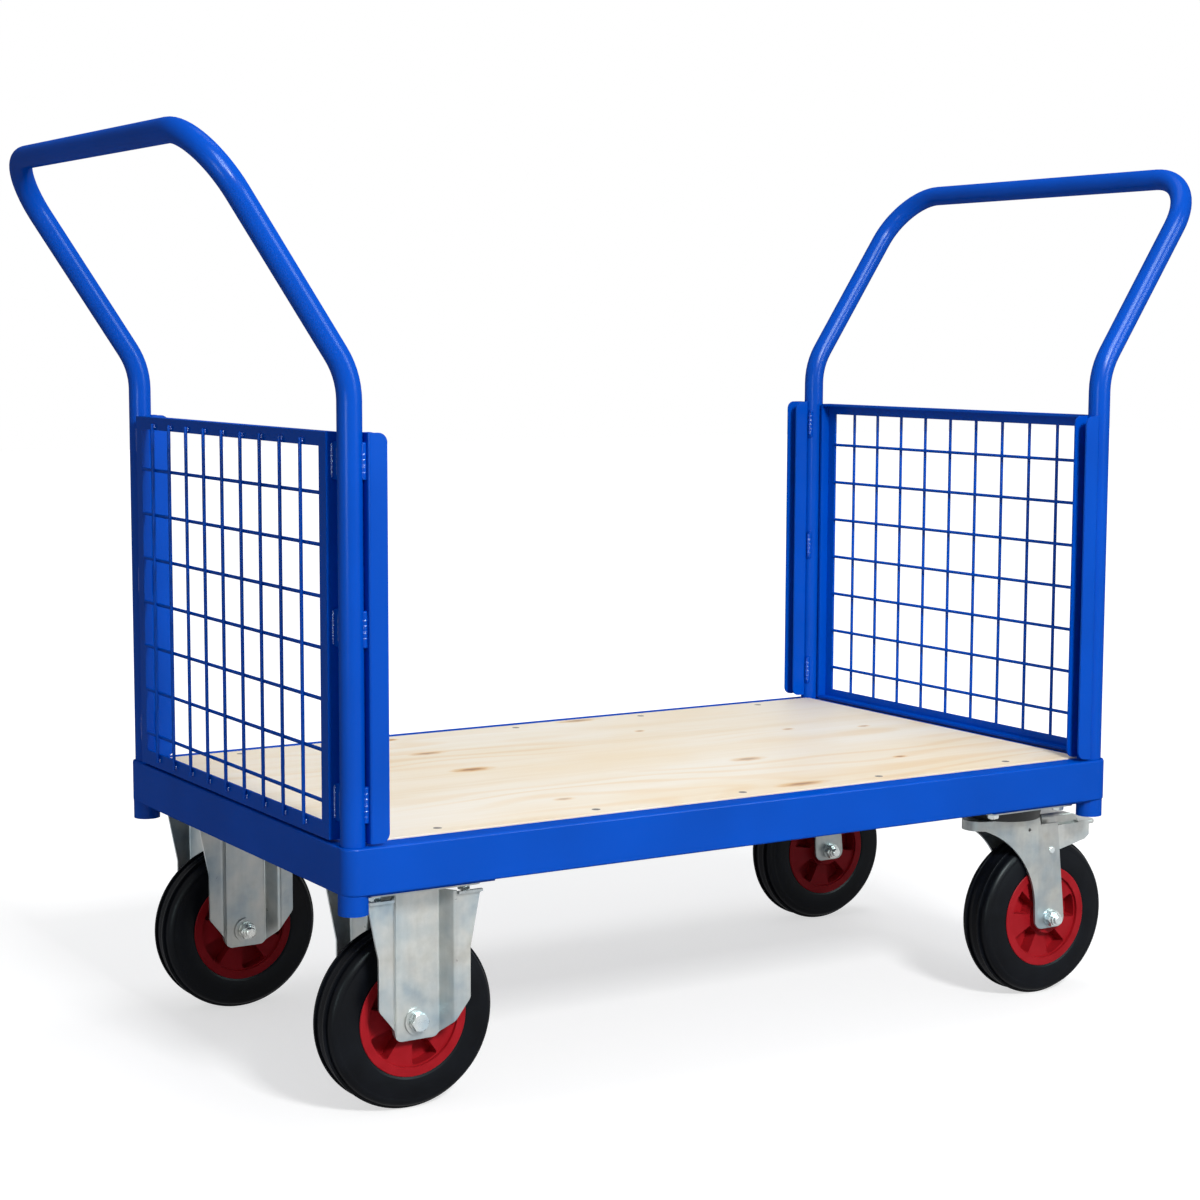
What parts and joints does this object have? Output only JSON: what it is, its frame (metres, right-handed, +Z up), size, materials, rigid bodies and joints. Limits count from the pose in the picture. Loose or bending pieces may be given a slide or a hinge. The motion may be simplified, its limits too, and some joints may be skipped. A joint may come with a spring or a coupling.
{
  "type": "flatbed platform truck",
  "caption": "Platform truck with a plywood deck in a steel rim, a lift-out mesh end with a leaning tube handle at each end, fixed castors at one end and braked swivel castors at the other.",
  "frame": {"origin": "on the floor under the middle of the deck", "axes": "+X along the deck towards the swivel castors, +Y across it, +Z up"},
  "size_m": [1.3508, 0.616, 1.0336],
  "materials": {
    "blue_paint": "semi-gloss powder coat",
    "plywood": "clear pine ply",
    "zinc_plate": "bright zinc plate",
    "bolt_zinc": "bright zinc plate",
    "screw_steel": "dull dark steel",
    "bush_steel": "oiled steel",
    "black_shroud": "dull black",
    "red_plastic": "moulded satin",
    "tyre_rubber": "smooth black rubber"
  },
  "bodies": {
    "chassis": {"rim_front": "blue_paint", "rim_back": "blue_paint", "rim_left": "blue_paint", "rim_right": "blue_paint", "corner_sockets": "blue_paint", "cross_members": "blue_paint", "mounting_pads": "blue_paint", "deck_board": "plywood", "deck_screws": "screw_steel", "castor_mounting_bolts": "bolt_zinc", "fixed_axle_bolts": "bolt_zinc", "fixed_axle_nuts": "bolt_zinc", "kingpins": "bolt_zinc", "fixed_fork_front": "zinc_plate", "fixed_fork_back": "zinc_plate", "swivel_plate_front": "zinc_plate", "swivel_plate_back": "zinc_plate", "swivel_race_front": "black_shroud", "swivel_race_back": "black_shroud"},
    "fixed_wheel_front": {"fixed_tyre_front": "tyre_rubber", "fixed_wheel_centre_front": "red_plastic", "fixed_wheel_bush_front": "bush_steel"},
    "swivel_wheel_front": {"swivel_tyre_front": "tyre_rubber", "swivel_wheel_centre_front": "red_plastic", "swivel_wheel_bush_front": "bush_steel"},
    "swivel_front": {"swivel_fork_front": "zinc_plate", "brake_rivets_front": "bolt_zinc", "swivel_axle_bolt_front": "bolt_zinc", "swivel_axle_nut_front": "bolt_zinc"},
    "brake_front": {"brake_lever_front": "zinc_plate", "brake_shoe_front": "zinc_plate"},
    "fixed_wheel_back": {"fixed_tyre_back": "tyre_rubber", "fixed_wheel_centre_back": "red_plastic", "fixed_wheel_bush_back": "bush_steel"},
    "swivel_wheel_back": {"swivel_tyre_back": "tyre_rubber", "swivel_wheel_centre_back": "red_plastic", "swivel_wheel_bush_back": "bush_steel"},
    "swivel_back": {"swivel_fork_back": "zinc_plate", "brake_rivets_back": "bolt_zinc", "swivel_axle_bolt_back": "bolt_zinc", "swivel_axle_nut_back": "bolt_zinc"},
    "brake_back": {"brake_lever_back": "zinc_plate", "brake_shoe_back": "zinc_plate"},
    "mesh_end_left": {"handle_tube_left": "blue_paint", "mesh_side_rails_left": "blue_paint", "mesh_end_rails_left": "blue_paint", "mesh_upright_wires_left": "blue_paint", "mesh_level_wires_left": "blue_paint", "guide_channels_left": "blue_paint", "end_welds_left": "blue_paint"},
    "mesh_end_right": {"handle_tube_right": "blue_paint", "mesh_side_rails_right": "blue_paint", "mesh_end_rails_right": "blue_paint", "mesh_upright_wires_right": "blue_paint", "mesh_level_wires_right": "blue_paint", "guide_channels_right": "blue_paint", "end_welds_right": "blue_paint"}
  },
  "joints": [
    {"name": "fixed_wheel_spin_front", "type": "hinge", "parent": "chassis", "child": "fixed_wheel_front", "pos_m": [-0.4165, -0.228, 0.1], "axis": [0, 1, 0], "continuous": true},
    {"name": "castor_swivel_front", "type": "hinge", "parent": "chassis", "child": "swivel_front", "pos_m": [0.421, -0.228, 0.2], "axis": [0, 0, 1], "continuous": true},
    {"name": "swivel_wheel_spin_front", "type": "hinge", "parent": "swivel_front", "child": "swivel_wheel_front", "pos_m": [0.471, -0.228, 0.1], "axis": [0, 1, 0], "continuous": true},
    {"name": "brake_press_front", "type": "hinge", "parent": "swivel_front", "child": "brake_front", "pos_m": [0.472, -0.228, 0.186], "axis": [0, 1, 0], "range_deg": [0, 7.5]},
    {"name": "fixed_wheel_spin_back", "type": "hinge", "parent": "chassis", "child": "fixed_wheel_back", "pos_m": [-0.4165, 0.228, 0.1], "axis": [0, 1, 0], "continuous": true},
    {"name": "castor_swivel_back", "type": "hinge", "parent": "chassis", "child": "swivel_back", "pos_m": [0.421, 0.228, 0.2], "axis": [0, 0, 1], "continuous": true},
    {"name": "swivel_wheel_spin_back", "type": "hinge", "parent": "swivel_back", "child": "swivel_wheel_back", "pos_m": [0.471, 0.228, 0.1], "axis": [0, 1, 0], "continuous": true},
    {"name": "brake_press_back", "type": "hinge", "parent": "swivel_back", "child": "brake_back", "pos_m": [0.472, 0.228, 0.186], "axis": [0, 1, 0], "range_deg": [0, 7.5]},
    {"name": "lift_out_left", "type": "slide", "parent": "chassis", "child": "mesh_end_left", "axis": [0, 0, 1], "range_m": [0, 0.12]},
    {"name": "lift_out_right", "type": "slide", "parent": "chassis", "child": "mesh_end_right", "axis": [0, 0, 1], "range_m": [0, 0.12]}
  ]
}
